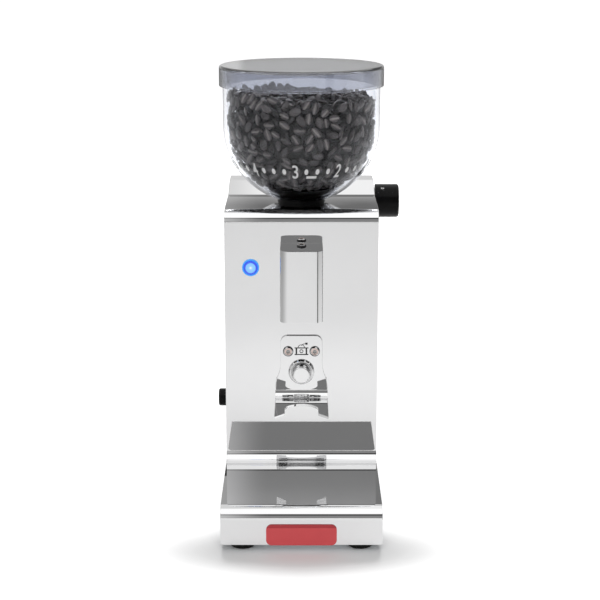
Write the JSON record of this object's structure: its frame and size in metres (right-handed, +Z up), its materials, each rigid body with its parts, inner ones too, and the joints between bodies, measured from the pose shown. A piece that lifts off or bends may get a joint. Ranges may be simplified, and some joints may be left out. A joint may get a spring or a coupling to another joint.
{
  "type": "burr coffee grinder",
  "caption": "Domestic burr coffee grinder in polished sheet steel with a clear bean hopper, worm driven grind adjustment, dosing fork and push button.",
  "frame": {"origin": "on the floor, under the middle of the bounding box", "axes": "+Z up, front facing -Y, +X to the right hand of the grinder seen from behind its front panel, which is the side of the adjusting knob"},
  "size_m": [0.1458, 0.2438, 0.3369],
  "materials": {
    "polished_sheet": "mirror polished stainless sheet",
    "side_sheet": "satin stainless sheet",
    "zinc_sheet": "zinc plated sheet",
    "steel": "turned steel",
    "hardened_steel": "hardened and ground",
    "laminations": "stacked laminations",
    "copper": "enamelled copper",
    "aluminium": "die cast",
    "brass": "machined",
    "rubber": "moulded, matt",
    "black_plastic": "moulded, semi gloss",
    "dark_plastic": "moulded, matt",
    "board": "circuit board",
    "ivory_plastic": "moulded",
    "clear_bowl": "clear plastic",
    "smoky_lid": "clear smoky plastic",
    "blue_ring": "translucent blue",
    "blue_cap": "lit translucent cap"
  },
  "bodies": {
    "case": {"front_cover": "polished_sheet", "side_panel_left": "side_sheet", "side_panel_right": "side_sheet", "back_panel": "side_sheet", "panel_screws": "steel", "base_plate": "zinc_sheet", "feet": "rubber", "foot_screws": "steel", "chute_cover": "polished_sheet", "chute_screw": "steel", "outlet_duct": "dark_plastic", "fork_plate": "polished_sheet", "fork_screws": "steel", "dose_bezel": "steel", "dose_microswitch": "dark_plastic", "lit_bezel": "blue_ring", "lit_switch": "dark_plastic", "grinding_chamber": "aluminium", "chamber_screws": "steel", "motor_plate": "zinc_sheet", "stator": "laminations", "field_coils": "copper", "upper_end_bell": "aluminium", "lower_end_bell": "aluminium", "upper_bearing": "steel", "lower_bearing": "steel", "brush_holders": "dark_plastic", "worm_bracket": "zinc_sheet", "worm_bushes": "brass", "timer_switch": "dark_plastic", "control_board": "board", "terminal_block": "ivory_plastic", "cord_gland": "dark_plastic", "plunger_spring": "steel"},
    "motor_shaft": {"drive_shaft": "steel", "rotor": "laminations", "commutator": "copper", "cooling_fan": "dark_plastic", "sweeper": "brass", "cone_burr": "hardened_steel", "bean_auger": "hardened_steel"},
    "hopper": {"worm_wheel": "brass", "hopper_socket": "black_plastic", "hopper_bowl": "clear_bowl", "collar_nut": "black_plastic"},
    "burr_holder": {"burr_carrier": "brass", "ring_burr": "hardened_steel"},
    "adjuster": {"worm_shaft": "steel", "adjuster_knob": "black_plastic", "knob_screw": "steel"},
    "lid": {"hopper_lid": "smoky_lid"},
    "dose_button": {"dose_plunger": "steel", "plunger_clip": "steel"},
    "lit_button": {"lit_cap": "blue_cap"},
    "timer": {"timer_knob": "black_plastic", "timer_shaft": "steel"}
  },
  "joints": [
    {"name": "motor_spin", "type": "hinge", "parent": "case", "child": "motor_shaft", "pos_m": [-0.0055, 0.0307, 0.1], "axis": [0, 0, 1], "continuous": true},
    {"name": "hopper_turn", "type": "hinge", "parent": "case", "child": "hopper", "pos_m": [-0.0055, 0.0307, 0.2233], "axis": [0, 0, 1], "range_deg": [-97, 227]},
    {"name": "carrier_rise", "type": "slide", "parent": "hopper", "child": "burr_holder", "axis": [0, 0, 1], "range_m": [-0.0004, 0.00095]},
    {"name": "worm_turn", "type": "hinge", "parent": "case", "child": "adjuster", "pos_m": [0.0645, 0.0777, 0.2233], "axis": [1, 0, 0], "range_deg": [-3880, 9080]},
    {"name": "lid_lift", "type": "slide", "parent": "hopper", "child": "lid", "axis": [0, 0, 1], "range_m": [0, 0.04]},
    {"name": "dose_press", "type": "slide", "parent": "case", "child": "dose_button", "axis": [0, 1, 0], "range_m": [0, 0.003], "stiffness_N_per_m": 600, "springref_m": -0.002, "deforming": ["plunger_spring"]},
    {"name": "lit_press", "type": "slide", "parent": "case", "child": "lit_button", "axis": [0, 1, 0], "range_m": [0, 0.0015], "stiffness_N_per_m": 700, "springref_m": -0.001},
    {"name": "timer_turn", "type": "hinge", "parent": "case", "child": "timer", "pos_m": [-0.0655, 0.0554, 0.0643], "axis": [-1, 0, 0], "range_deg": [0, 270]}
  ],
  "couplings": [
    {"joint": "worm_turn", "follows": "hopper_turn", "ratio": 40},
    {"joint": "carrier_rise", "follows": "hopper_turn", "m_per_rad": 0.00023873}
  ]
}
